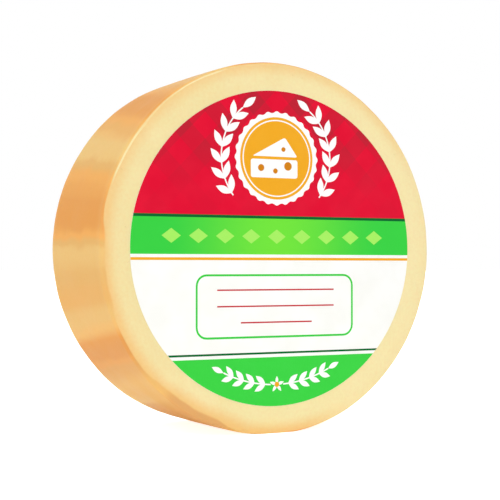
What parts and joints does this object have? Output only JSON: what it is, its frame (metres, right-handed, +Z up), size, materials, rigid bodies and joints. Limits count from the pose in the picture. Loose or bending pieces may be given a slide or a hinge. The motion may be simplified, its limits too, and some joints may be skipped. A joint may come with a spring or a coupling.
{
  "type": "provolone cheese wheel",
  "caption": "Small wheel of smoked provolone cheese standing on its rim, with a round printed label on its flat front face.",
  "frame": {"origin": "on the floor below the middle of the object, in the small flat spot on the rim that the wheel rests on", "axes": "+Z up, X along the floor across the wheel's face, Y along the wheel's axis with the labelled face looking towards -Y"},
  "size_m": [0.1301, 0.051, 0.1293],
  "materials": {
    "smoked_rind": "satin, golden smoked cheese rind, paler cream on the two faces",
    "printed_label": "coated paper with a semi-gloss print"
  },
  "bodies": {
    "root": {"cheese_wheel": "smoked_rind", "label": "printed_label"}
  },
  "joints": []
}
